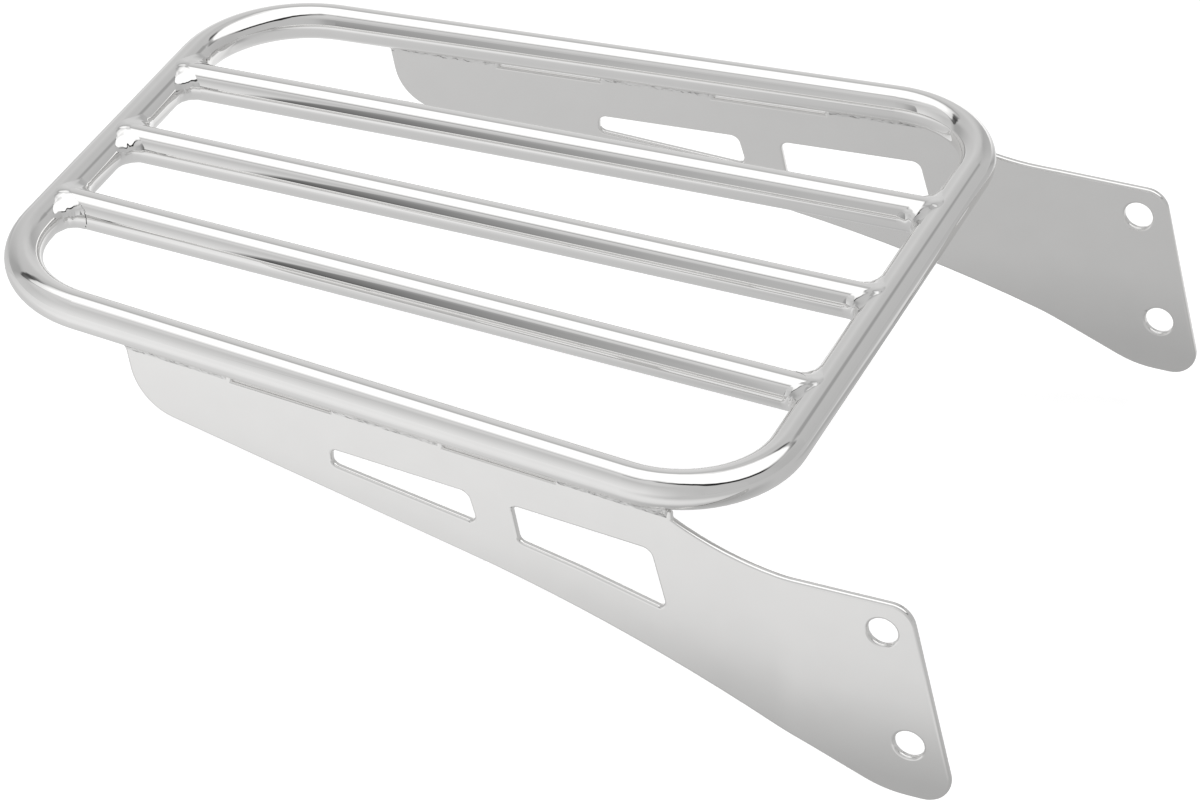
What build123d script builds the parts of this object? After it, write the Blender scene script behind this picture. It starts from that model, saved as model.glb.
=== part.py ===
from build123d import *
import math
import os

# Luggage rack for a motorcycle: a bent tube hoop with three rails across it, carried by two side
# plates that bolt to the fender struts. Everything is steel, welded, polished and chromed.

# Frame: +X is forward, towards the bolted end. +Y is left. +Z is up.
# The origin is the centre of the load deck, level with the tops of the tubes.
# Lengths are in millimetres. Depths are measured down from the tube axes.

# Tube stock of the hoop and the rails
tube_diameter = 14.0

# Hoop, along the tube axis: narrow at the rear, wide at the bolted end
hoop_length = 306.4
hoop_width_rear = 209.1
hoop_width_front = 272.9
hoop_bend_rear = 45.0
hoop_bend_front = 39.0

# Rails, spaced along each cross run of the hoop
rail_spacing_rear = 48.0
rail_spacing_front = 62.0

# Polished saddle welds at the rail ends
saddle_radius = 6.0
saddle_bite = 0.15

# Side plates: flat stock under the hoop's long sides, bent parallel at the bolted end
plate_thickness = 3.0
plate_offset = 0.4
plate_bend_run = 43.0
plate_bend_radius = 60.0

# Top edge of a plate: three lands that carry the hoop, with relief gaps between. The first land
# starts behind the rear bend, the last ends under the front bend.
land_rear_inset = 59.7
land_front_inset = 26.2
land_length = 45.0
middle_land_shift = -1.7
relief_depth = 2.0
land_bite = 3.2
sweep_length = 45.0
sweep_start_depth = 9.2
ear_top_depth = 19.0

# Lower edge of a plate: each corner by its run from the start or the end of the lands, and depth
rear_corner_run = 4.7
rear_corner_depth = 31.1
rear_corner_radius = 20.0
belly_run = -10.1
belly_depth = 61.85
belly_radius = 600.0
heel_run = 80.0
plate_depth = 98.8
heel_radius = 40.0
tip_radius = 10.0

# Ear at the bolted end: a raked front edge with two bolt holes along it
ear_top_run = 87.8
ear_rake = 13.06
ear_top_radius = 9.0
bolt_hole_diameter = 11.0
bolt_spacing = 46.3
bolt_edge_distance = 12.35

# Slots through each plate: runs along the plate from the middle land's start and from the
# front land's start, and depths
slot_rear_start = -0.6
slot_rear_top_depth = 24.9
slot_rear_start_depth = 31.4
slot_rear_end_top = 55.0
slot_rear_end_low = 58.5
slot_rear_end_depth = 37.1
slot_front_start_top = -17.8
slot_front_start_low = -14.9
slot_front_top_depth = 24.6
slot_front_start_depth = 39.1
slot_front_belly_run = 9.2
slot_front_belly_depth = 42.2
slot_front_belly_radius = 200.0
slot_front_end_top = 37.1
slot_front_end_low = 43.4
slot_front_end_depth = 48.3
slot_radius_small = 2.5
slot_radius_large = 4.0

# Stitch welds between the hoop and the lands, on both faces of a plate
bead_drop = 2.3
bead_reach = 1.8
bead_hollow = 0.3
bead_bite = 0.15
bead_end_gap = 1.5

# Sizes that follow from those above
tube_radius = tube_diameter / 2
half_length = hoop_length / 2
half_rear = hoop_width_rear / 2
half_front = hoop_width_front / 2
splay = math.atan2(half_front - half_rear, hoop_length)
up = Vector(0, 0, 1)
along = Vector(math.cos(splay), math.sin(splay), 0)


def side_axis_y(x):
    """Distance of the left side run's axis from the centre line, before the corner bends."""
    return half_rear + (x + half_length) * math.tan(splay)


# Hoop: one tube swept round a tapered ring
hoop_path = FilletPolyline(
    (-half_length, -half_rear),
    (half_length, -half_front),
    (half_length, half_front),
    (-half_length, half_rear),
    radius=[hoop_bend_rear, hoop_bend_front, hoop_bend_front, hoop_bend_rear],
    close=True,
)
hoop_section = Plane(origin=hoop_path @ 0, z_dir=hoop_path % 0) * Circle(tube_radius)
hoop = sweep(hoop_section, path=hoop_path)


# Rails: straight tubes coped to the hoop at both ends
def rail_ends(side):
    """Where a rail's axis meets the axes of the two cross runs. side is -1, 0 or 1."""
    rear = Vector(-half_length, side * rail_spacing_rear, 0)
    front = Vector(half_length, side * rail_spacing_front, 0)
    return rear, front


def make_bar(start, end):
    """Plain round bar of the tube's outer size between two points."""
    axis = end - start
    return extrude(Plane(origin=start, z_dir=axis) * Circle(tube_radius), amount=axis.length)


# Saddle welds: the space between rail and hoop, hollowed by a ball rolled along both tubes
def make_saddle(crossing, rail_direction, hoop_direction):
    """One side of the weld at a rail end, in the corner between the two directions."""
    half_angle = math.radians(rail_direction.get_angle(hoop_direction)) / 2
    bisector = (rail_direction + hoop_direction).normalized()
    mid_plane = Plane(origin=crossing, x_dir=bisector, z_dir=bisector.cross(up))
    ball_height = tube_radius + saddle_radius - saddle_bite
    ball_path = mid_plane * EllipticalCenterArc(
        center=(0, 0),
        x_radius=ball_height / math.sin(half_angle),
        y_radius=ball_height,
        start_angle=-90,
        arc_size=180,
    )
    ball_section = Plane(origin=ball_path @ 0, z_dir=ball_path % 0) * Circle(saddle_radius)
    ball_sweep = sweep(ball_section, path=ball_path)
    toe_reach = (
        (tube_radius + saddle_radius) * math.cos(half_angle) ** 2
        + tube_radius * math.sin(half_angle) ** 2
    ) / math.sin(half_angle)
    body = extrude(mid_plane * Ellipse(toe_reach, tube_radius), amount=2 * toe_reach, both=True)
    corner = Polyline(
        crossing,
        crossing + rail_direction * 2 * toe_reach,
        crossing + (rail_direction + hoop_direction) * 2 * toe_reach,
        crossing + hoop_direction * 2 * toe_reach,
        close=True,
    )
    body = body & extrude(make_face(corner), amount=tube_radius, both=True, dir=(0, 0, 1))
    return body - ball_sweep


rails = {}
rail_welds = {}
for side, side_name in ((-1, "right"), (0, "centre"), (1, "left")):
    rear, front = rail_ends(side)
    bar = make_bar(rear, front)
    rails[side_name] = bar - hoop
    rail_welds[side_name] = [
        make_saddle(crossing, (far_end - crossing).normalized(), Vector(0, across, 0)) - bar - hoop
        for crossing, far_end in ((rear, front), (front, rear))
        for across in (-1, 1)
    ]


# Side plate outline, drawn from the side
rear_land = land_rear_inset - half_length
lands_end = half_length - land_front_inset
front_land = lands_end - land_length
middle_land = (rear_land + front_land) / 2 + middle_land_shift
land_top = land_bite - tube_radius
relief_top = -(tube_radius + relief_depth)
ear_direction = Vector(math.sin(math.radians(ear_rake)), -math.cos(math.radians(ear_rake)))
ear_top = Vector(lands_end + ear_top_run, -ear_top_depth)
ear_tip = ear_top + ear_direction * ((plate_depth - ear_top_depth) / -ear_direction.Y)
sweep_start = Vector(lands_end, -sweep_start_depth)
sweep_end = Vector(lands_end + sweep_length, -ear_top_depth)
lower_edge = FilletPolyline(
    (rear_land, land_top),
    (rear_land + rear_corner_run, -rear_corner_depth),
    (lands_end + belly_run, -belly_depth),
    (lands_end + heel_run, -plate_depth),
    ear_tip,
    ear_top,
    sweep_end,
    radius=[rear_corner_radius, belly_radius, heel_radius, tip_radius, ear_top_radius],
)
sweep_arc = TangentArc(sweep_end, sweep_start, tangent=(-1, 0))
top_edge = Polyline(
    sweep_start,
    (lands_end, land_top),
    (front_land, land_top),
    (front_land, relief_top),
    (middle_land + land_length, relief_top),
    (middle_land + land_length, land_top),
    (middle_land, land_top),
    (middle_land, relief_top),
    (rear_land + land_length, relief_top),
    (rear_land + land_length, land_top),
    (rear_land, land_top),
)
outline = make_face(Plane.XZ * (lower_edge + sweep_arc + top_edge))

# Sheet of the left plate: it follows the hoop's side, then bends parallel to the centre line
bend_x = lands_end + plate_bend_run
bend_point = Vector(bend_x, side_axis_y(bend_x) + plate_offset / math.cos(splay))
sheet_start = bend_point - along * hoop_length
sheet_end = bend_point + Vector(half_length, 0)
sheet_path = FilletPolyline(sheet_start, bend_point, sheet_end, radius=plate_bend_radius)
sheet_section = Plane(origin=sheet_path @ 0, x_dir=up, z_dir=sheet_path % 0) * Rectangle(
    3 * plate_depth, plate_thickness
)
sheet = sweep(sheet_section, path=sheet_path)
plate = sheet & extrude(outline, amount=hoop_width_front, both=True)

# Bolt holes, along the raked front edge
inward = Vector(-math.cos(math.radians(ear_rake)), -math.sin(math.radians(ear_rake)))
upper_bolt_z = -(ear_top_depth + bolt_edge_distance)
upper_bolt_x = (
    ear_top.X
    + math.tan(math.radians(ear_rake)) * bolt_edge_distance
    - bolt_edge_distance / math.cos(math.radians(ear_rake))
)
upper_bolt = Vector(upper_bolt_x, upper_bolt_z)
lower_bolt = upper_bolt + ear_direction * bolt_spacing
for bolt in (upper_bolt, lower_bolt):
    hole = Plane.XZ * Pos(bolt.X, bolt.Y) * Circle(bolt_hole_diameter / 2)
    plate = plate - extrude(hole, amount=hoop_width_front, both=True)

# Slots, cut square through the sheet
def sheet_plane(x):
    """Plane of the left plate, with its origin above a land's start."""
    origin = (x, side_axis_y(x) + plate_offset / math.cos(splay), 0)
    return Plane(origin=origin, x_dir=along, z_dir=along.cross(up))


slot_rear = FilletPolyline(
    (slot_rear_start, -slot_rear_top_depth),
    (slot_rear_start, -slot_rear_start_depth),
    (slot_rear_end_low, -slot_rear_end_depth),
    (slot_rear_end_top, -slot_rear_top_depth),
    radius=[slot_radius_small, slot_radius_small, slot_radius_small, slot_radius_large],
    close=True,
)
slot_front = FilletPolyline(
    (slot_front_start_top, -slot_front_top_depth),
    (slot_front_start_low, -slot_front_start_depth),
    (slot_front_belly_run, -slot_front_belly_depth),
    (slot_front_end_low, -slot_front_end_depth),
    (slot_front_end_top, -slot_front_top_depth),
    radius=[
        slot_radius_small,
        slot_radius_small,
        slot_front_belly_radius,
        slot_radius_small,
        slot_radius_large,
    ],
    close=True,
)
for slot, x in ((slot_rear, middle_land), (slot_front, front_land)):
    cutter = extrude(sheet_plane(x) * make_face(slot), amount=2 * plate_thickness, both=True)
    plate = plate - cutter
plate_blank = plate
plate = plate_blank - hoop


# Stitch welds: concave beads in the corner between the hoop and a plate face
def make_bead(land_start, face):
    """Bead along one land. face is 1 outside the plate and -1 inside."""
    plate_face = plate_thickness / 2 + face * plate_offset
    tube_toe = plate_face + bead_reach
    low = (plate_face - bead_bite, -(tube_radius + bead_drop))
    high = (tube_toe, bead_bite - math.sqrt(tube_radius**2 - tube_toe**2))
    root = (plate_face - plate_thickness / 4, -tube_radius / 2)
    edge = SagittaArc(high, low, -bead_hollow) + Polyline(low, root, high)
    across = Vector(-along.Y, along.X, 0) * face
    start = Vector(land_start, side_axis_y(land_start), 0) + along * bead_end_gap
    section = Plane(origin=start, x_dir=across, z_dir=across.cross(up)) * make_face(edge)
    bead_length = land_length / math.cos(splay) - 2 * bead_end_gap
    return extrude(section, amount=face * bead_length) - plate_blank - hoop


beads = {
    f"{place}_{face_name}": make_bead(land_start, face)
    for place, land_start in (("rear", rear_land), ("middle", middle_land), ("front", front_land))
    for face_name, face in (("outer", 1), ("inner", -1))
}

# Every piece, lowered from the tube axes to the load deck
nodes = {"hoop_tube": hoop}
for side_name, rail in rails.items():
    nodes[f"rail_{side_name}"] = rail
for side_name, saddles in rail_welds.items():
    nodes[f"rail_weld_{side_name}"] = Compound(
        children=[solid for saddle in saddles for solid in saddle.solids()]
    )
nodes["side_plate_left"] = plate
nodes["side_plate_right"] = mirror(plate, about=Plane.XZ)
for bead_name, bead in beads.items():
    nodes[f"plate_weld_left_{bead_name}"] = bead
    nodes[f"plate_weld_right_{bead_name}"] = mirror(bead, about=Plane.XZ)

os.makedirs("parts", exist_ok=True)
for node_name, node in nodes.items():
    export_step(Pos(0, 0, -tube_radius) * node, f"parts/{node_name}.step")
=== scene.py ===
# %% [markdown]
# # A chromed luggage rack in a white studio
# The rack is one welded fabrication: a bent tube hoop, three rails inside it and two side plates.
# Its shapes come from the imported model, so this lesson is about two things: a chrome that looks
# like plated and polished steel, and a room for it to reflect. Chrome has no colour of its own,
# so most of the picture is made by what stands around the rack.

# %% Load the model
import bmesh
import bpy
import math
import numpy as np
from mathutils import Matrix, Vector, noise


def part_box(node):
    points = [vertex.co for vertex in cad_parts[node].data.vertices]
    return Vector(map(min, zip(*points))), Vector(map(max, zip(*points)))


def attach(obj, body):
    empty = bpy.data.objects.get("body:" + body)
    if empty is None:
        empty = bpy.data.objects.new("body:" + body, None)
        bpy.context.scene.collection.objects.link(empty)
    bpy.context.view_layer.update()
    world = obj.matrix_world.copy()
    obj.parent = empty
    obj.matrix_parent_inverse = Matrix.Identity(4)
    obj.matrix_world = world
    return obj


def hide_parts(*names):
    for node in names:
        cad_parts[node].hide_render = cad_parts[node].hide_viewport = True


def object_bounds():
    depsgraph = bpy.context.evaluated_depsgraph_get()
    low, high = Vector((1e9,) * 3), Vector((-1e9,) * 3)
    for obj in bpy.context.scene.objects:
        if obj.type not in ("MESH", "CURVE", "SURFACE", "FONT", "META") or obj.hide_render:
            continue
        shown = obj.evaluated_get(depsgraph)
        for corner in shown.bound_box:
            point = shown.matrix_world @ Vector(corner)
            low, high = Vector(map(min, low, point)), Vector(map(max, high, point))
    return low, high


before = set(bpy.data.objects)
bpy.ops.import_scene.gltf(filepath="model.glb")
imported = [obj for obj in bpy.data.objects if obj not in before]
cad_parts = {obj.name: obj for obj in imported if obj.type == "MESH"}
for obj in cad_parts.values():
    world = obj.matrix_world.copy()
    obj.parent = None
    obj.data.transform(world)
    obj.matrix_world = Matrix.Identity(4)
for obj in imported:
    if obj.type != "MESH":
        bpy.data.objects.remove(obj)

cad_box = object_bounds()
scene = bpy.context.scene
scene.view_settings.view_transform = "Standard"
print("nodes:", sorted(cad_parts))

# %% [markdown]
# ## Shader helper
# A material is easier to read as arithmetic. One small class wraps a socket, so that adding or
# multiplying two of them adds the Math nodes, and one method makes any other node. It takes the
# node's type, its settings and the values or links of its inputs.


# %% Shader helper
class Socket:
    """A node's output, with the arithmetic that the finishes use."""

    def __init__(self, tree, out):
        self.tree = tree
        self.out = out

    def node(self, kind, settings=None, **values):
        """Make a node. An input is given by name, or as in0, in1 and so on by number."""
        made = self.tree.nodes.new(kind)
        for name, value in (settings or {}).items():
            if name == "stops":
                while len(made.color_ramp.elements) < len(value):
                    made.color_ramp.elements.new(1.0)
                for element, (place, grey) in zip(made.color_ramp.elements, value):
                    element.position = place
                    element.color = (grey, grey, grey, 1.0)
            else:
                setattr(made, name, value)
        for name, value in values.items():
            index = int(name[2:]) if name.startswith("in") else name.replace("_", " ")
            if isinstance(value, Socket):
                self.tree.links.new(value.out, made.inputs[index])
            else:
                made.inputs[index].default_value = value
        return made

    def wrap(self, made, name=0):
        """One output of a node, as a Socket."""
        return Socket(self.tree, made.outputs[name])

    def maths(self, operation, other=0.0, swap=False):
        """A Math node on this socket and another value, which swap puts first."""
        first, second = (other, self) if swap else (self, other)
        made = self.node("ShaderNodeMath", {"operation": operation}, in0=first, in1=second)
        return self.wrap(made)

    def __add__(self, other):
        return self.maths("ADD", other)

    __radd__ = __add__

    def __mul__(self, other):
        return self.maths("MULTIPLY", other)

    __rmul__ = __mul__

    def __sub__(self, other):
        return self.maths("SUBTRACT", other)

    def __rsub__(self, other):
        return self.maths("SUBTRACT", other, swap=True)


def start_material(name):
    """A new material with its Principled shader, and a wrapped Object coordinate."""
    material = bpy.data.materials.new(name)
    material.use_nodes = True
    tree = material.node_tree
    shader = tree.nodes["Principled BSDF"]
    coordinate = tree.nodes.new("ShaderNodeTexCoord")
    return material, shader, Socket(tree, coordinate.outputs["Object"])


# %% [markdown]
# ## Chrome
# Plated steel is a mirror with a slightly warm, slightly dark tint. A plain metal shader would
# look too perfect, because polishing leaves very faint waves, which bend the reflections a
# little, and a fine haze that varies. One noise feeds a weak bump, and another varies the haze
# and the tint.

# %% Chrome
polish_scale = 90.0
least_haze = 0.7
haze_change = 0.6
darkest_tint = 0.96


def read_noise(place, scale, detail):
    """Noise from 0 to 1, whose lumps are about 1 / scale metres across."""
    return place.wrap(place.node("ShaderNodeTexNoise", Vector=place, Scale=scale, Detail=detail))


def make_chrome(name, tint, haze, waves, lumps=None):
    """Polished plating. haze is its roughness, waves and lumps are (height, scale) of bumps."""
    material, shader, place = start_material(name)
    shader.inputs["Metallic"].default_value = 1.0
    height = read_noise(place, waves[1], 1.0) * waves[0]
    if lumps:
        height = height + read_noise(place, lumps[1], 1.5) * lumps[0]
    bump = place.node("ShaderNodeBump", Strength=1.0, Distance=1.0, Height=height)
    place.tree.links.new(bump.outputs["Normal"], shader.inputs["Normal"])
    polish = read_noise(place, polish_scale, 3.0)
    roughness = polish * haze * haze_change + haze * least_haze
    place.tree.links.new(roughness.out, shader.inputs["Roughness"])
    dark = (*[part * darkest_tint for part in tint], 1.0)
    light = (*tint, 1.0)
    colour = place.node("ShaderNodeMix", {"data_type": "RGBA"}, in0=polish, in6=dark, in7=light)
    place.tree.links.new(colour.outputs[2], shader.inputs["Base Color"])
    return material


# %% [markdown]
# ## Four finishes
# The same plating looks different on each piece. Drawn tube polishes almost to a mirror. Flat
# plate keeps the grain of the sheet, so it is hazier. The dressed rail welds shine but ripple,
# and the stitch welds on the plates were never dressed, so they stay rough and lumpy.

# %% Four finishes
fine_waves = (0.00002, 45.0)
broad_waves = (0.00002, 30.0)
weld_tint = (0.86, 0.856, 0.85)
tube_chrome = make_chrome("tube_chrome", (0.87, 0.865, 0.858), 0.012, fine_waves)
plate_chrome = make_chrome("plate_chrome", (0.86, 0.854, 0.846), 0.1, broad_waves)
weld_chrome = make_chrome("weld_chrome", weld_tint, 0.02, fine_waves, (0.00004, 300.0))
bead_chrome = make_chrome("bead_chrome", weld_tint, 0.16, fine_waves, (0.0014, 420.0))

finishes = {"side_plate": plate_chrome, "rail_weld": weld_chrome, "plate_weld": bead_chrome}
for node_name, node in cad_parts.items():
    kind = "_".join(node_name.split("_")[:2])
    for slot in node.material_slots:
        slot.material = finishes.get(kind, tube_chrome)
print("finishes:", [m.name for m in (tube_chrome, plate_chrome, weld_chrome, bead_chrome)])

# %% [markdown]
# ## Rounded plate edges
# The plates were polished before plating, which rounds their cut edges. A Weld modifier joins
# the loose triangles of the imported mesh, and a Decimate modifier makes each flat face whole
# again. Then a Bevel rolls every sharp edge over. Weighted normals keep the faces flat, so that
# only the edges catch the light.

# %% Rounded plate edges
same_point = 0.00002
flat_angle = math.radians(0.6)
sharp_angle = math.radians(40)
edge_width = 0.0011

for side in ("left", "right"):
    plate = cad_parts["side_plate_" + side]
    join = plate.modifiers.new("join", "WELD")
    join.merge_threshold = same_point
    merge = plate.modifiers.new("whole_faces", "DECIMATE")
    merge.decimate_type = "DISSOLVE"
    merge.angle_limit = flat_angle
    edge = plate.modifiers.new("rounded_edges", "BEVEL")
    edge.width = edge_width
    edge.segments = 4
    edge.limit_method = "ANGLE"
    edge.angle_limit = sharp_angle
    edge.use_clamp_overlap = False
    flat = plate.modifiers.new("flat_faces", "WEIGHTED_NORMAL")
    flat.mode = "FACE_AREA"
    flat.weight = 80
    print(plate.name, "edges rounded by", edge_width)

# %% [markdown]
# ## Where the rails meet the hoop
# A dressed weld is placed by the two tubes that it joins. The hoop gives the radius and the
# height of the tubes, and the coped tip of each rail shows where its centreline ends.

# %% Rail ends
hoop_low, hoop_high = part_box("hoop_tube")
tube_radius = (hoop_high[2] - hoop_low[2]) / 2
tube_axis = hoop_high[2] - tube_radius
tip_length = 0.009


def rail_end(name, at_front):
    """Where a rail's centreline meets the centreline of the hoop run at one end."""
    points = np.array([v.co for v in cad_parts[name].data.vertices])
    reach = points[:, 0].max() if at_front else points[:, 0].min()
    tip = points[abs(points[:, 0] - reach) < tip_length]
    x = hoop_high[0] - tube_radius if at_front else hoop_low[0] + tube_radius
    return np.array([x, (tip[:, 1].min() + tip[:, 1].max()) / 2, tube_axis])


print("tube radius", round(tube_radius, 4), "centre rail ends at", rail_end("rail_centre", True))

# %% [markdown]
# ## A blank for each weld
# Weld metal has no edges of its own, so it is easiest to shape from an even skin. Two short
# cylinders are crossed and joined where the rail meets the hoop, and a voxel Remesh gives them
# one skin of small, even faces.

# %% Weld blank
run_length = 0.044
stub_length = 0.022
voxel = 0.0004


def add_cylinder(centre, along, length):
    """A piece of tube with its middle at a point, lying along a direction."""
    turn = Vector((0, 0, 1)).rotation_difference(Vector(along)).to_euler()
    bpy.ops.mesh.primitive_cylinder_add(
        vertices=64, radius=tube_radius, depth=length, location=centre, rotation=turn
    )
    return bpy.context.object


def crossed_tubes(name, end, inward):
    """A piece of the hoop run and a stub of the rail, as one evenly meshed object."""
    bpy.ops.object.select_all(action="DESELECT")
    run = add_cylinder(end, (0, 1, 0), run_length)
    add_cylinder(end + inward * stub_length / 2, inward, stub_length)
    run.select_set(True)
    bpy.ops.object.join()
    joint = bpy.context.object
    joint.name = name
    bpy.ops.object.transform_apply(location=True, rotation=True, scale=True)
    remesh = joint.modifiers.new("even", "REMESH")
    remesh.mode = "VOXEL"
    remesh.voxel_size = voxel
    bpy.ops.object.modifier_apply(modifier=remesh.name)
    return joint


# %% [markdown]
# ## The dressed surface
# On the real rack the corner was filled with weld, ground to a hollow by hand and plated over.
# The metal flows a long way out at the sides, and only a little at the crest and underneath. A
# rounded blend of the two tubes does the same: where both are about equally near, the surface
# lifts off them, over a width that is called the leg here. It starts at nothing on the hoop's
# centreline, so that no metal grows on the outer side of the hoop.

# %% Dressed surface
side_leg = 0.0085
crest_leg = 0.0024
crest_reach = 0.004
shortest_leg = 0.00001
tiny = 0.00002


def tube_gaps(points, end, inward):
    """Distance of each point from the surface of the hoop run and of the rail."""
    from_end = points - end
    to_run = np.hypot(from_end[:, 0], from_end[:, 2]) - tube_radius
    along = np.clip(from_end @ inward, 0, None)
    beside = from_end - np.outer(along, inward)
    return to_run, np.linalg.norm(beside, axis=1) - tube_radius


def blend(points, end, inward, leg_change):
    """0 on the blended surface of the two tubes, below 0 inside it."""
    to_run, to_rail = tube_gaps(points, end, inward)
    lift = np.clip(np.abs(points[:, 2] - tube_axis) / tube_radius, 0, 1)
    started = np.clip((points - end) @ inward / crest_reach, 0, 1) ** 0.5
    full_leg = crest_leg + (side_leg - crest_leg) * (1 - lift**4)
    leg = full_leg * leg_change * started + shortest_leg
    share = np.clip(leg - np.abs(to_run - to_rail), 0, None) / leg
    return np.minimum(to_run, to_rail) - share**2 * leg / 4


def slope_of(surface, points):
    """How fast a surface's value rises along X, Y and Z at each point."""
    rises = [surface(points + step) - surface(points - step) for step in np.eye(3) * tiny]
    return np.stack(rises, 1) / (2 * tiny)


# %% [markdown]
# ## Dressing one joint
# The points of the blank slide down the slope until they lie on the blended surface. Handwork
# is uneven, so a noise changes the leg, and a finer one ripples the metal. Where the blend has
# sunk back to the tubes the skin goes just under them, and what lies inside is cut away.

# %% Dress a joint
unevenness = 0.16
leg_lumps = 260.0
ripple = 0.00005
ripple_lumps = 250.0
ripple_rise = 0.0003
sunk = 0.00005
shown_above = 0.00001
slides = 8


def noise_at(points, scale, seed):
    """Smooth noise from -1 to 1 at each point."""
    shift = Vector((seed, seed * 0.7, 0.0))
    return np.array([noise.noise(Vector(point) * scale + shift) for point in points])


def cut_away(joint, hidden):
    """Delete the faces whose corners are all hidden."""
    mesh = bmesh.new()
    mesh.from_mesh(joint.data)
    buried = [face for face in mesh.faces if all(hidden[v.index] for v in face.verts)]
    bmesh.ops.delete(mesh, geom=buried, context="FACES")
    mesh.to_mesh(joint.data)
    mesh.free()


def dressed_joint(name, end, other_end, seed):
    """The weld metal at one end of a rail, as a mesh object."""
    inward = (other_end - end) / np.linalg.norm(other_end - end)
    joint = crossed_tubes(name, end, inward)
    points = np.array([v.co for v in joint.data.vertices])
    leg_change = 1 + unevenness * noise_at(points, leg_lumps, seed)

    def surface(places):
        return blend(places, end, inward, leg_change)

    for _ in range(slides):
        slope = slope_of(surface, points)
        points = points - slope * (surface(points) / (slope**2).sum(1))[:, None]
    stands_out = np.minimum(*tube_gaps(points, end, inward))
    metal = np.clip(stands_out / ripple_rise, 0, 1)
    bumps = ripple * noise_at(points, ripple_lumps, seed) * metal
    points += slope * (bumps - sunk * (1 - metal))[:, None]
    joint.data.vertices.foreach_set("co", points.ravel())
    cut_away(joint, stands_out < shown_above)
    bpy.ops.object.shade_smooth()
    return joint


# %% [markdown]
# ## Six dressed welds
# Each rail has a weld at the rear and one at the front, and together they replace the plainer
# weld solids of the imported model. No two welds are alike, so each gets its own noise.

# %% Six dressed welds
seed = 1
for side in ("left", "centre", "right"):
    rear = rail_end("rail_" + side, False)
    front = rail_end("rail_" + side, True)
    for place_name, end, other in (("rear", rear, front), ("front", front, rear)):
        piece = dressed_joint("dressed_weld_" + side + "_" + place_name, end, other, seed)
        seed += 3
        piece.data.materials.clear()
        piece.data.materials.append(weld_chrome)
        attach(piece, "root")
        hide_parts("rail_weld_" + side)
        print(piece.name, len(piece.data.polygons), "faces")

# %% [markdown]
# ## Camera
# The camera stands off the near long side of the rack, moved round a little towards the bolted
# end, and looks down on the deck. Its angles, its lens and its distance were solved from outline
# points of the photo. The lens is long and the camera stands far off, as for a catalogue, so the
# two long sides stay almost parallel.

# %% Camera
azimuth = math.radians(23.69)
elevation = math.radians(34.86)
roll = math.radians(-1.07)
distance = 1.7823
aim_right = 0.0399
aim_up = -0.0663
tube_axis_drop = 0.007

forward = Vector((
    -math.sin(azimuth) * math.cos(elevation),
    math.cos(azimuth) * math.cos(elevation),
    -math.sin(elevation),
))
level_right = Vector((math.cos(azimuth), math.sin(azimuth), 0.0))
level_up = level_right.cross(forward)
right = level_right * math.cos(roll) + level_up * math.sin(roll)
top = level_up * math.cos(roll) - level_right * math.sin(roll)
eye = right * aim_right + top * aim_up - forward * distance - Vector((0, 0, tube_axis_drop))

camera_data = bpy.data.cameras.new("camera")
camera_data.sensor_width = 36.0
camera_data.lens = 146.02
camera = bpy.data.objects.new("camera", camera_data)
scene.collection.objects.link(camera)
turn = Matrix((right, top, -forward)).transposed()
camera.matrix_world = Matrix.Translation(eye) @ turn.to_4x4()
scene.camera = camera
print("camera at", [round(part, 3) for part in eye])

# %% [markdown]
# ## Floor
# The floor is a plain pale plane just below the rack. The room lights it, so it takes the rack's
# soft shadow. A pale grey would still look dull against a white page, so rays that see it
# directly also get a little glow, which lifts it to the backdrop's white.

# %% Floor
floor_drop = 0.012
floor_size = 14.0
floor_height = cad_box[0][2] - floor_drop
floor_grey = 0.8
floor_glow = 0.5


def make_plane(name, size_x, size_y, centre):
    """A flat plane with its corners in place and its object at the origin."""
    bpy.ops.object.select_all(action="DESELECT")
    bpy.ops.mesh.primitive_plane_add(size=1.0, location=centre)
    plane = bpy.context.object
    plane.name = name
    plane.scale = (size_x, size_y, 1.0)
    bpy.ops.object.transform_apply(location=True, rotation=True, scale=True)
    return plane


def seen_directly(tree):
    """1 for a ray from the camera, from a mirror or through glass, else 0."""
    path = tree.nodes.new("ShaderNodeLightPath")
    camera_ray = Socket(tree, path.outputs["Is Camera Ray"])
    glossy_ray = Socket(tree, path.outputs["Is Glossy Ray"])
    clear_ray = Socket(tree, path.outputs["Is Transmission Ray"])
    return camera_ray.maths("MAXIMUM", glossy_ray).maths("MAXIMUM", clear_ray)


floor = make_plane("floor", floor_size, floor_size, (0, 0, floor_height))
floor_paint, paint, floor_place = start_material("floor_paint")
paint.inputs["Base Color"].default_value = (floor_grey, floor_grey, floor_grey, 1.0)
paint.inputs["Roughness"].default_value = 0.9
paint.inputs["Specular IOR Level"].default_value = 0.0
paint.inputs["Emission Color"].default_value = (1.0, 1.0, 1.0, 1.0)
glow = seen_directly(floor_place.tree) * floor_glow
floor_place.tree.links.new(glow.out, paint.inputs["Emission Strength"])
floor.data.materials.append(floor_paint)
print("floor at", round(floor_height, 4))

# %% [markdown]
# ## A room by direction
# The tubes mirror the whole room, so the room is the real subject. It could be built from walls
# and lamps, but it is easier to match when it is painted on the world by direction: the bearing
# goes round the rack from -180 to 180 degrees, and the climb goes up from the horizon. A grey
# at any direction is then read from a ramp of stops.

# %% Directions
degrees = 180 / math.pi
world = bpy.data.worlds.new("studio")
scene.world = world
world.use_nodes = True
sky_tree = world.node_tree
background = sky_tree.nodes["Background"]
direction_node = sky_tree.nodes.new("ShaderNodeTexCoord")
direction = Socket(sky_tree, direction_node.outputs["Generated"])


def split(vector):
    """The three parts of a vector socket."""
    parts = vector.node("ShaderNodeSeparateXYZ", Vector=vector)
    return [vector.wrap(parts, axis) for axis in "XYZ"]


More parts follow.
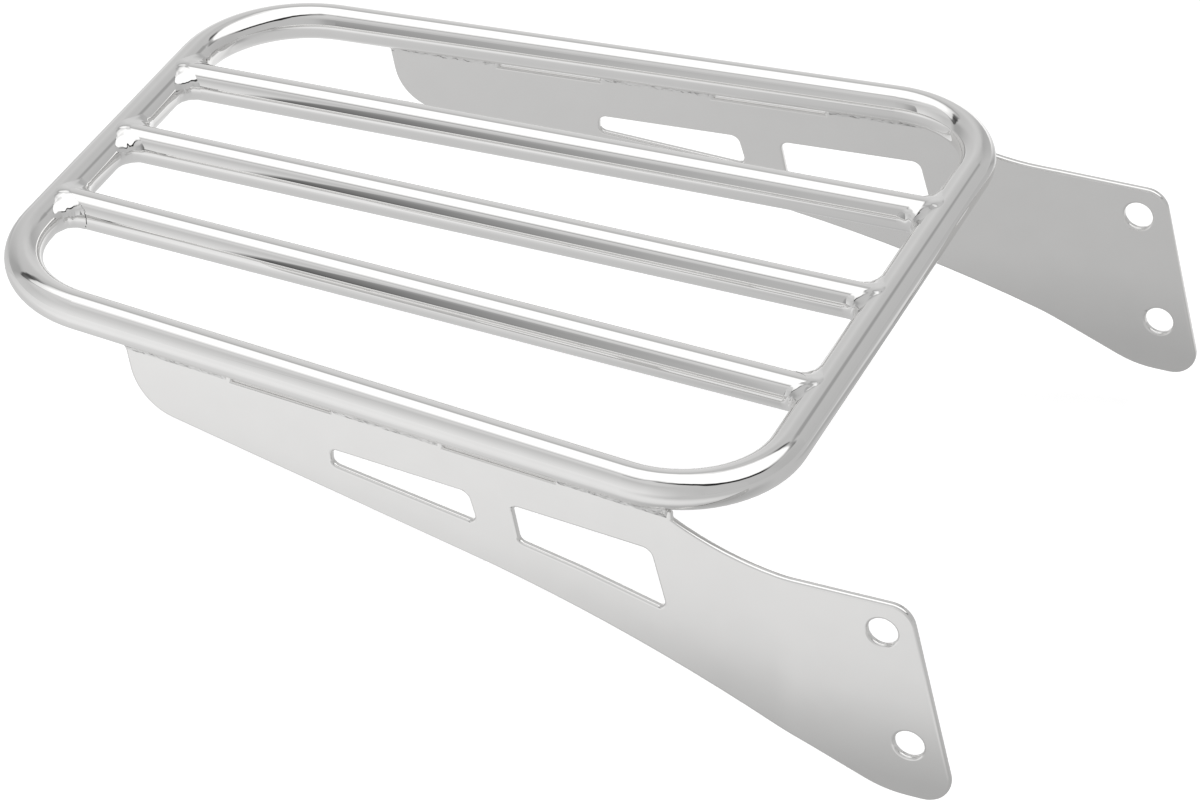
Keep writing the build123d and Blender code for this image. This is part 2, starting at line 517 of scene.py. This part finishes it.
def grey_band(value, low, high, stops):
    """Read a grey at a value, from (value, grey) stops between two limits."""
    share = value.node(
        "ShaderNodeMapRange", {"clamp": True}, Value=value, From_Min=low, From_Max=high
    )
    placed = [((at - low) / (high - low), grey) for at, grey in stops]
    band = value.node("ShaderNodeValToRGB", {"stops": placed}, Fac=value.wrap(share))
    return value.wrap(band, "Color")


def mix(value, first, second):
    """First where value is 0, second where it is 1."""
    return first * (1 - value) + second * value


sky_x, sky_y, sky_z = split(direction)
bearing = sky_y.maths("ARCTAN2", sky_x) * degrees
climb = sky_z.maths("ARCSINE") * degrees


def round_the_room(stops):
    """A grey or a share at each bearing."""
    return grey_band(bearing, -180, 180, stops)


def angle_round_the_room(stops):
    """An angle of up to 90 degrees at each bearing."""
    return round_the_room([(at, angle / 90) for at, angle in stops]) * 90


def up_the_wall(stops):
    """A grey or a share at each climb."""
    return grey_band(climb, -90, 90, stops)


print("bearings and climbs are in degrees")

# %% [markdown]
# ## The soft box
# A white soft box hangs overhead and gives the tubes their broad white stripe. Its lower edge
# stands at another height on each side, and fades in over more or fewer degrees. A dark gap
# between the box and the walls runs along that edge. It draws the thin black lines on the
# tubes, so it has a width and a depth at each bearing too.

# %% Soft box
edge_height = angle_round_the_room([
    (-180, 52), (-162, 55), (-150, 58), (-138, 60), (-126, 61.5), (-114, 69), (-102, 67),
    (-90, 67), (-78, 66), (-66, 64), (-54, 60), (-42, 51), (-30, 46.5), (-18, 40.5), (-6, 37),
    (6, 34.5), (18, 34.5), (30, 35.5), (42, 36), (54, 35), (66, 43), (78, 48), (90, 50),
    (102, 53), (114, 45), (126, 45), (138, 44), (150, 43.5), (162, 38), (174, 27), (180, 52),
])
edge_rise = angle_round_the_room([
    (-180, 9), (-132, 14), (-120, 16), (-108, 12), (-90, 12), (-78, 6), (-54, 8), (-42, 12),
    (-30, 9), (-6, 9), (18, 8), (42, 7), (60, 6), (78, 8), (90, 15), (102, 14), (114, 11),
    (126, 9), (150, 9), (162, 14), (174, 34), (180, 9),
])
gap_width = angle_round_the_room([
    (-180, 1), (-150, 3), (-126, 4), (-90, 4), (-78, 5), (-66, 6), (-54, 7), (-42, 10),
    (-30, 7), (-18, 6), (-6, 5.5), (6, 5), (18, 3.5), (30, 2), (42, 2), (54, 5.5), (66, 2.5),
    (78, 3.5), (90, 3), (138, 3), (150, 3.5), (162, 5), (174, 8), (180, 1),
])
gap_depth = round_the_room([
    (-180, 0.056), (-150, 0.056), (-138, 0.333), (-126, 0.389), (-114, 0.222), (-102, 0.611),
    (-90, 0.667), (-78, 0.889), (-66, 0.944), (-42, 0.978), (-30, 0.978), (-18, 0.956),
    (-6, 0.933), (6, 1.0), (18, 0.4), (30, 0.156), (42, 0.133), (54, 0.556), (66, 0.167),
    (78, 0.933), (90, 0.167), (102, 0.089), (126, 0.278), (138, 0.089), (150, 0.722),
    (162, 0.889), (174, 0.689), (180, 0.056),
])
gap_sharpness = 2.2

above_edge = climb - edge_height
inside_box = above_edge * edge_rise.maths("DIVIDE", 1.0, swap=True)
inside_box = inside_box.maths("MAXIMUM", 0.0).maths("MINIMUM", 1.0)
from_gap = above_edge.maths("ABSOLUTE") * gap_width.maths("DIVIDE", 1.0, swap=True)
from_gap = from_gap.maths("MINIMUM", 1.0)
gap = ((1 - from_gap) * gap_sharpness).maths("MINIMUM", 1.0) * gap_depth
print("world nodes with the soft box:", len(sky_tree.nodes))

# %% [markdown]
# ## The walls
# Below the soft box the walls are grey. The one on the far side and the one on the near side are
# bright near the floor and darker higher up, and at the two ends of the rack they are an even
# grey. Shares fade one into the next round the room. A slow change of tone and a narrow grey post
# beyond the far bolts break them up, as furniture and corners do in a real room.

# %% Walls
front_wall = up_the_wall([(-12, 0.55), (10, 0.56), (30, 0.57), (50, 0.6)])
near_wall = up_the_wall([
    (-12, 0.95), (0, 0.92), (8, 0.88), (16, 0.83), (24, 0.77), (32, 0.7), (38, 0.63),
    (44, 0.6), (52, 0.72),
])
far_wall = up_the_wall([(-12, 1.0), (0, 0.84), (8, 0.72), (30, 0.68), (42, 0.58), (52, 0.66)])
near_share = round_the_room([(-168, 0.3), (-135, 0.9), (-100, 0.9), (-70, 0.25), (-45, 0.0)])
far_share = round_the_room([
    (45, 0.0), (66, 0.35), (84, 0.3), (108, 1.0), (130, 0.8), (150, 0.3), (170, 0.45),
])
low_tone = round_the_room([
    (6, 0.98), (18, 0.92), (42, 0.93), (54, 0.96), (66, 0.93), (78, 0.84), (90, 0.75),
    (99, 0.98), (114, 1.06), (126, 0.96), (138, 0.94), (150, 0.87), (162, 0.69), (172, 0.66),
    (180, 0.98),
])
high_tone = round_the_room([
    (-180, 1.2), (-162, 1.16), (-138, 1.07), (-120, 1.0), (160, 1.0), (180, 1.2),
])
is_low = up_the_wall([(27, 1.0), (37, 0.0)])
post = round_the_room([(60, 0.0), (66, 0.35), (74, 0.35), (80, 0.0)])
post_height = up_the_wall([(29, 0.0), (33, 1.0), (39, 1.0), (42, 0.0)])

walls = mix(far_share, mix(near_share, front_wall, near_wall), far_wall)
walls = walls * mix(is_low, high_tone, low_tone) * (1 - post * post_height)
print("world nodes with the walls:", len(sky_tree.nodes))

# %% [markdown]
# ## The painted room
# The soft box, the walls and the gap make one grey for each direction. Mirrors and the light on
# the floor use it. Only camera rays skip the room and find plain white, which is the backdrop.

# %% Painted room
box_white = 1.3
backdrop_white = 1.0

room = mix(inside_box, walls, box_white) * (1 - gap)
sky_path = sky_tree.nodes.new("ShaderNodeLightPath")
is_camera = Socket(sky_tree, sky_path.outputs["Is Camera Ray"])
shown = mix(is_camera, room, backdrop_white)
sky_tree.links.new(shown.out, background.inputs["Color"])
print("world nodes:", len(sky_tree.nodes))

# %% [markdown]
# ## Cards
# A room that is painted by direction looks the same from every point of the rack. What stands
# close by does not, so that part of the studio is real: cards, as a photographer would put them,
# out of the picture and seen only by the chrome. They glow, so nothing has to light them. The
# floor card also carries a painted shadow of the rack.


# %% Cards
def card_paint(name, make_grey):
    """Glowing card whose grey, and perhaps its Alpha, come from the place on it."""
    material, shader, place = start_material(name)
    shader.inputs["Base Color"].default_value = (0.0, 0.0, 0.0, 1.0)
    shader.inputs["Specular IOR Level"].default_value = 0.0
    shader.inputs["Emission Strength"].default_value = 1.0
    grey, share = make_grey(*split(place))
    place.tree.links.new(grey.out, shader.inputs["Emission Color"])
    if share is not None:
        place.tree.links.new(share.out, shader.inputs["Alpha"])
    return material


def only_for_mirrors(card):
    """Hide a card from the camera and from soft light, and let it cast no shadow."""
    card.visible_camera = False
    card.visible_diffuse = False
    card.visible_shadow = False
    card.visible_transmission = False
    card.visible_volume_scatter = False


# %% [markdown]
# ## The dark card
# An upright card on the near side gives the rails their dark band. It is darkest low down at
# the rear and fades towards the front. In the photo the near run of the hoop doesn't mirror
# that band, and the far run mirrors it more weakly. A real studio would need one more card or
# flag for each of them. Here the length of the mirror ray tells the tubes apart, which no real
# card can do: the card is clear for a mirror that stands nearer than the rails, and a little
# clear for one that stands farther off. The distance along the ground follows from the ray's
# length and its climb. Places high on the card are seen from a little farther away, so an
# allowance takes that out.

# %% Dark card
card_left, card_right = -0.32, 1.4
card_bottom, card_top = -0.03, 0.51
card_y = -0.45
mirror_height = -0.003
climb_allowance = 0.23
front_grey = 0.58


def mirror_distance(z):
    """How far off, along the ground, the mirror stands that shows a point of a card."""
    path = z.tree.nodes.new("ShaderNodeLightPath")
    ray_length = Socket(z.tree, path.outputs["Ray Length"])
    climbed = z - mirror_height
    return (ray_length * ray_length - climbed * climbed).maths("SQRT")


def dark_card_grey(x, y, z):
    """The dark card's grey and its Alpha at a place on it."""
    rise = grey_band(z, -0.05, 0.55, [
        (0.02, 0.08), (0.07, 0.11), (0.1, 0.15), (0.15, 0.18), (0.2, 0.21), (0.27, 0.25),
        (0.34, 0.31), (0.42, 0.39),
    ])
    fade = grey_band(x, -0.4, 0.4, [
        (-0.27, 0.0), (-0.22, 0.12), (-0.19, 0.26), (-0.16, 0.37), (-0.12, 0.54),
        (-0.07, 0.76), (0.0, 0.92), (0.1, 1.0),
    ])
    left = grey_band(x, -0.4, 0.0, [(-0.3, 0.0), (-0.28, 1.0)])
    upper = grey_band(z, -0.05, 0.55, [(-0.02, 0.0), (0.0, 1.0), (0.43, 1.0), (0.5, 0.0)])
    by_distance = grey_band(mirror_distance(z) - z * z * climb_allowance, 0.3, 0.7, [
        (0.403, 0.0), (0.413, 1.0), (0.515, 1.0), (0.55, 0.76),
    ])
    return mix(fade, rise, front_grey), left * upper * by_distance


dark_card = make_plane("dark_card", card_right - card_left, card_top - card_bottom, (0, 0, 0))
card_centre = Vector(((card_left + card_right) / 2, card_y, (card_bottom + card_top) / 2))
upright = Matrix.Rotation(math.radians(90), 4, "X")
dark_card.data.transform(Matrix.Translation(card_centre) @ upright)
dark_card.data.materials.append(card_paint("dark_card_paint", dark_card_grey))
only_for_mirrors(dark_card)
print("dark card at", [round(part, 3) for part in card_centre])

# %% [markdown]
# ## The floor card
# The plates stand upright, so from above they mirror the floor. A grey card on it, seen only in
# mirrors, carries a painted shadow of the rack. Its grey is darker in stripes under the rack,
# where the two plates look at different parts of it, and a little darker towards the front.
# Farther out it follows the bearing, as the walls do, for the undersides of the tubes.


# %% Floor card
def floor_card_grey_and_painted_shadow(x, y, z):
    """The floor card's grey, with its painted shadow of the rack, at a place on it. It is nowhere
    clear, so it has no Alpha.
    """
    # Painted shadow of the rack on the floor: darker under the rack, a little darker towards the
    # front, and lighter again in strips under the plates at the rear.
    across = grey_band(y, -0.4, 0.4, [
        (-0.26, 0.9), (-0.22, 0.87), (-0.2, 0.8), (-0.18, 0.64), (-0.16, 0.52), (-0.13, 0.5),
        (-0.06, 0.62), (0.06, 0.6), (0.11, 0.49), (0.15, 0.49), (0.18, 0.8), (0.26, 1.0),
    ])
    front = grey_band(x, -0.4, 0.4, [(-0.2, 1.05), (0.0, 0.99), (0.1, 0.96), (0.2, 0.92)])
    under = grey_band(y, -0.4, 0.4, [
        (-0.22, 0.0), (-0.19, 0.08), (-0.17, 0.2), (-0.14, 0.24), (-0.1, 0.12), (-0.06, 0.02),
        (0.06, 0.02), (0.1, 0.12), (0.14, 0.26), (0.18, 0.06), (0.22, 0.0),
    ])
    rear = grey_band(x, -0.4, 0.4, [(0.0, 1.0), (0.12, 0.0)])
    away = (x * x + y * y).maths("SQRT")
    outside = grey_band(away, 0.0, 1.0, [(0.32, 0.0), (0.5, 1.0)])
    around = grey_band(y.maths("ARCTAN2", x) * degrees, -180, 180, [
        (-180, 0.72), (-156, 0.83), (-126, 0.92), (-96, 0.86), (-66, 0.6), (36, 0.56), (56, 0.5),
        (60, 0.4), (66, 0.6), (84, 1.1), (102, 1.2), (118, 1.1), (138, 0.7), (150, 0.5),
        (162, 0.6), (174, 0.66),
    ])
    return mix(outside, across * front + under * rear, around), None


card_lift = 0.002
floor_card = make_plane("floor_card", floor_size, floor_size, (0, 0, floor_height + card_lift))
floor_card.data.materials.append(card_paint("floor_card_painted_shadow", floor_card_grey_and_painted_shadow))
only_for_mirrors(floor_card)
print("stage:", [o.name for o in (floor, dark_card, floor_card)])

# %% [markdown]
# ## Finish
# The dressed rack must keep the imported model's size. Only the rail welds may stand a little
# proud, because they were filled and dressed by hand. The size of the imported model's box is
# printed.

# %% Finish
packed_size = [round(high - low, 4) for low, high in zip(*cad_box)]
print("size of the packed model in metres:", packed_size)
